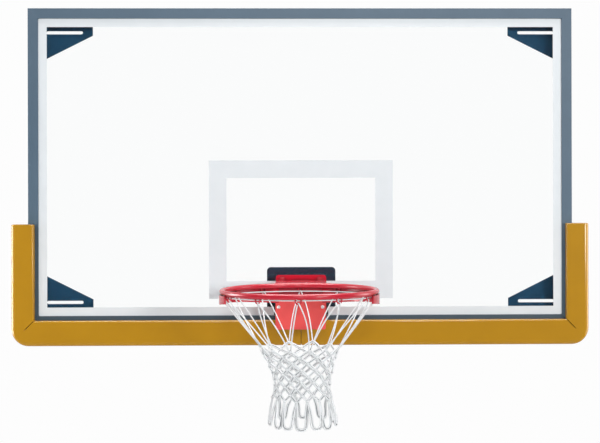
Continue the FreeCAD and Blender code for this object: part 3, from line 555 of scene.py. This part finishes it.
# Loops on the hooks
for column in range(net_columns):
    top = net_place(0, column, up=hook_wire + cord_radius)
    halves = []
    for hand, knot in ((-1, column - 1), (1, column)):
        shoulder = net_place(0, column, out=hand * hook_shoulder, along=hand * hook_shoulder,
                             up=hook_wire / 2)
        end = net_place(1, knot, out=hand * hook_knot_offset, along=-hand * hook_knot_offset)
        sideways = (net_place(0, column, along=1.0) - net_place(0, column)) * hand
        bow = sideways * (hook_bow + jitter(hook_bow_play))
        halves.append([shoulder, shoulder.lerp(end, bow_shares[0]) + bow * hook_upper_bow,
                       shoulder.lerp(end, bow_shares[1]) + bow, end])
    lay_cord(halves[0][::-1] + [top] + halves[1], size=hook_cord_size)

# Doubled strands from each knot to the two under it
for row in range(1, last - 1):
    for column in range(net_columns):
        for turn in (-1, 1):
            other = column + (row % 2) - (turn < 0)
            start, end = net_place(row, column), net_place(row + 1, other)
            outward = (start - Vector((ring_middle.x, ring_middle.y, start.z))).normalized()
            across = (end - start).cross(outward).normalized()
            for strand in (-1, 1):
                shift = across * strand * cord_spacing / 2
                bow = shift * (1.0 + jitter(strand_part_play))
                bow = bow + outward * (turn * strand_lift + jitter(strand_lift_play))
                lay_cord([start + shift * strand_knot_share]
                         + [start.lerp(end, share) + bow for share in bow_shares]
                         + [end + shift * strand_knot_share])

# Knots
for row in range(1, last):
    for column in range(net_columns):
        for tilt in knot_tilts:
            lay_cord([net_place(row, column, out=knot_radius * math.cos(a),
                                along=knot_radius * math.sin(a) * math.cos(tilt),
                                up=knot_radius * math.sin(a) * math.sin(tilt))
                      for a in (full_turn / knot_points * k for k in range(knot_points))],
                     closed=True)

# Bottom loops
for column in range(net_columns):
    width = loop_half + jitter(loop_half_play)
    lift = loop_lift + jitter(loop_lift_play)
    lean = jitter(loop_lean_play)
    for strand in (-1, 1):
        gap = strand * cord_spacing / 2
        half = width - gap + jitter(loop_strand_play)
        low = lift + gap + jitter(loop_strand_play)
        halves = []
        for hand, knot in ((-1, column - 1 + last % 2), (1, column + last % 2)):
            arm = lean + hand * half * loop_arm_share
            bend = lean + hand * half * loop_end_share
            side_up = low + loop_side_rise
            halves.append([net_place(last - 1, knot, along=-hand * gap / 2),
                           net_place(last, column, out=-loop_top_tuck, along=arm, up=loop_top_rise),
                           net_place(last, column, out=-loop_side_tuck, along=arm, up=side_up),
                           net_place(last, column, along=bend, up=low)])
        lay_cord(halves[0] + halves[1][::-1])

# Header cord
header_height = ring_low.z - cord_radius - hook_low
header_dips = [header_sag * (1 - math.cos(math.pi * step / net_columns)) / 2
               for step in range(2 * net_columns)]
lay_cord([net_place(0, step / 2, up=header_height - dip) for step, dip in enumerate(header_dips)],
         closed=True, size=header_size)

# All cords as one closed mesh
net_maker = bpy.data.objects.new("net_maker", net_curve)
scene.collection.objects.link(net_maker)
bpy.context.view_layer.update()
graph = bpy.context.evaluated_depsgraph_get()
net_mesh = bpy.data.meshes.new_from_object(net_maker.evaluated_get(graph))
bpy.data.objects.remove(net_maker)
bm = bmesh.new()
bm.from_mesh(net_mesh)
bmesh.ops.remove_doubles(bm, verts=bm.verts[:], dist=tiny)
bmesh.ops.recalc_face_normals(bm, faces=bm.faces[:])
bm.to_mesh(net_mesh)
bm.free()
net = add_piece("net_cords", net_mesh, cord, net_smooth_angle)
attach(net, "ring_assembly")
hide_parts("net")

# Release springs: round wire, a closed turn at each end
spring_wire_radius = 4 * MM
spring_wire_sides = 10
spring_turns = 6
spring_turn_steps = 24
spring_closed_rise = spring_wire_radius * 2.05
spring_smooth_angle = 50


def release_spring(node):
    """The coil between a seat on the back plate and a cup on the face plate."""
    low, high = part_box(node)
    middle = (low + high) / 2
    coil_radius = (high.x - low.x) / 2 - spring_wire_radius
    length = high.y - low.y
    open_turns = spring_turns - 2
    open_rise = (length - 2 * spring_wire_radius - 2 * spring_closed_rise) / open_turns
    bm = bmesh.new()
    bmesh.ops.create_circle(bm, cap_ends=True, segments=spring_wire_sides,
                            radius=spring_wire_radius)
    first = (middle.x + coil_radius, high.y - spring_wire_radius, middle.z)
    bmesh.ops.translate(bm, vec=first, verts=bm.verts[:])
    wire = start = bm.faces[:]
    for rise in [spring_closed_rise] + [open_rise] * open_turns + [spring_closed_rise]:
        grown = bmesh.ops.spin(bm, geom=wire, cent=(middle.x, 0, middle.z), axis=(0, 1, 0),
                               dvec=(0, -rise / spring_turn_steps, 0), angle=full_turn,
                               steps=spring_turn_steps)["geom_last"]
        if wire != start:
            bmesh.ops.delete(bm, geom=wire, context="FACES")
        wire = [g for g in grown if isinstance(g, bmesh.types.BMFace)]
    bmesh.ops.recalc_face_normals(bm, faces=bm.faces[:])
    mesh = mesh_from(bm, node + "_wire")
    spring = add_piece(node + "_wire", mesh, spring_steel, spring_smooth_angle)
    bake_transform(spring)
    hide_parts(node)


for node in ("release_spring_left", "release_spring_right"):
    release_spring(node)

# Domed bolts through the face plate, each with a flange nut behind it. The profiles are in
# millimetres: the distance from the bolt's axis, and the distance behind the plate's face.
face_low, face_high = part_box("face_plate")
bolt_x = 71.5 * MM
bolt_z = -459.8 * MM
bolt_profile = ((0, -3.8), (2.6, -3.5), (4.7, -2.4), (5.8, -0.9), (6.0, 0), (4.4, 0), (4.4, 13),
                (3.6, 13.8), (0, 13.8))
nut_profile = ((4.5, 0), (8.4, 0), (8.4, 1.0), (6.4, 1.8), (6.4, 5.2), (5.8, 5.8), (4.5, 5.8))
bolt_sides = 24
nut_sides = 6
bolt_smooth_angle = 40
bm = bmesh.new()
for x in (-bolt_x, bolt_x):
    for profile, front, sides in ((bolt_profile, face_low.y, bolt_sides),
                                  (nut_profile, face_high.y, nut_sides)):
        line = [bm.verts.new((x + r * MM, front + along * MM, bolt_z)) for r, along in profile]
        edges = [bm.edges.new(pair) for pair in zip(line, line[1:])]
        if profile is nut_profile:
            edges.append(bm.edges.new((line[-1], line[0])))
        bmesh.ops.spin(bm, geom=line + edges, cent=(x, 0, bolt_z), axis=(0, 1, 0), angle=full_turn,
                       steps=sides, use_merge=True)
bmesh.ops.remove_doubles(bm, verts=bm.verts[:], dist=2 * tiny)
bmesh.ops.recalc_face_normals(bm, faces=bm.faces[:])
bolt_mesh = mesh_from(bm, "face_plate_bolts")
face_bolts = add_piece("face_plate_bolts", bolt_mesh, bright_zinc, bolt_smooth_angle)
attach(face_bolts, "ring_assembly")

# Floor, well under the net: matt paint, pale and even
floor_half = 2.0
floor_height = -1.4
bm = bmesh.new()
bmesh.ops.create_grid(bm, x_segments=1, y_segments=1, size=floor_half)
bmesh.ops.translate(bm, vec=(0, ring_middle.y, floor_height), verts=bm.verts[:])
floor_mesh = mesh_from(bm, "floor")
floor = bpy.data.objects.new("floor", floor_mesh)
scene.collection.objects.link(floor)
floor_paint = start_finish("pale studio floor", Base_Color=linear("#F0F1F2"), Roughness=0.8)[0]
floor_mesh.materials.append(floor_paint)

# Studio surround. The camera sees it white, directly and through the glass. Reflections see the
# white only to the rear of the board. All else gets a soft light, stronger from the front.
rear_edge = 0.2
front_full, front_end = -0.9, -0.1
front_light, rear_light = 0.34, 0.12
half_bounce = 0.5
studio = bpy.data.worlds.new("studio")
scene.world = studio
studio.use_nodes = True
tree = studio.node_tree
tree.nodes.clear()
path = add_node(tree, "ShaderNodeLightPath").outputs
gaze = add_node(tree, "ShaderNodeTexCoord").outputs["Generated"]
way = add_node(tree, "ShaderNodeSeparateXYZ", {0: gaze})
behind = add_node(tree, "ShaderNodeMapRange", {"Value": way.outputs["Y"], "From Min": -rear_edge,
                                               "From Max": rear_edge, "To Min": 0.0, "To Max": 1.0})
mirror = add_node(tree, "ShaderNodeMath", {0: path["Is Glossy Ray"], 1: behind.outputs[0]},
                  operation="MULTIPLY")
bounces = add_node(tree, "ShaderNodeMath", {0: path["Diffuse Depth"], 1: path["Glossy Depth"]},
                   operation="ADD")
direct = add_node(tree, "ShaderNodeMath", {0: bounces.outputs[0], 1: half_bounce},
                  operation="LESS_THAN")
through = add_node(tree, "ShaderNodeMath", {0: path["Is Transmission Ray"], 1: direct.outputs[0]},
                   operation="MULTIPLY")
seen = add_node(tree, "ShaderNodeMath", {0: path["Is Camera Ray"], 1: mirror.outputs[0]},
                operation="MAXIMUM")
seen = add_node(tree, "ShaderNodeMath", {0: seen.outputs[0], 1: through.outputs[0]},
                operation="MAXIMUM")
before = add_node(tree, "ShaderNodeMapRange", {"Value": way.outputs["Y"], "From Min": front_full,
                                               "From Max": front_end, "To Min": front_light,
                                               "To Max": rear_light})
light = add_node(tree, "ShaderNodeBackground",
                 {"Color": linear("#F7F9FB"), "Strength": before.outputs[0]})
shown = add_node(tree, "ShaderNodeBackground", {"Color": linear("#FDFDFD"), "Strength": 1.0})
surround = add_node(tree, "ShaderNodeMixShader", {0: seen.outputs[0], 1: light.outputs[0],
                                                  2: shown.outputs[0]})
add_node(tree, "ShaderNodeOutputWorld", {"Surface": surround.outputs[0]})

# Lamps: two far keys, a fill, a strip overhead and one at each side, cards that only gloss shows,
# and a lamp for the back. Each has its place, aim, width, height, watts, and where it shows.
lamps = (
    ("key lamp", (7.2, -12.0, 1.2), (0, 0, -0.2), 2.0, 2.0, 690, "all"),
    ("high key lamp", (0.5, -13.5, 3.9), (0, 0, -0.2), 2.0, 1.6, 390, "all"),
    ("fill lamp", (-3.3, -3.2, -0.5), (-0.2, 0, -0.3), 2.0, 2.0, 24, "matt"),
    ("overhead strip", (0, -0.25, 2.2), (0, -0.1, 0), 2.8, 1.0, 50, "all"),
    ("left strip", (-1.45, -0.1, -0.3), (-0.9, -0.06, -0.3), 0.3, 1.1, 4, "all"),
    ("right strip", (1.45, -0.1, -0.3), (0.9, -0.06, -0.3), 0.3, 1.1, 3, "all"),
    ("left card", (-1.75, -0.12, -0.3), (-0.9, -0.12, -0.3), 0.8, 1.1, 32, "gloss"),
    ("right card", (1.75, -0.12, -0.3), (0.9, -0.12, -0.3), 0.8, 1.1, 10, "gloss"),
    ("top card", (0, -0.35, 1.6), (0, -0.35, 0), 2.4, 0.7, 100, "gloss"),
    ("rear lamp", (-1.5, 8.0, 0.2), (0, 0, -0.1), 3.0, 2.0, 330, "matt"),
)
for name, spot, aim, width, height, watts, shows_in in lamps:
    lamp_data = bpy.data.lights.new(name, "AREA")
    lamp_data.shape = "RECTANGLE"
    lamp_data.size = width
    lamp_data.size_y = height
    lamp_data.energy = watts
    lamp = bpy.data.objects.new(name, lamp_data)
    lamp.location = spot
    lamp.rotation_euler = (Vector(aim) - Vector(spot)).to_track_quat("-Z", "Y").to_euler()
    lamp.visible_camera = False
    lamp.visible_diffuse = shows_in != "gloss"
    lamp.visible_glossy = shows_in != "matt"
    lamp.visible_transmission = False
    scene.collection.objects.link(lamp)
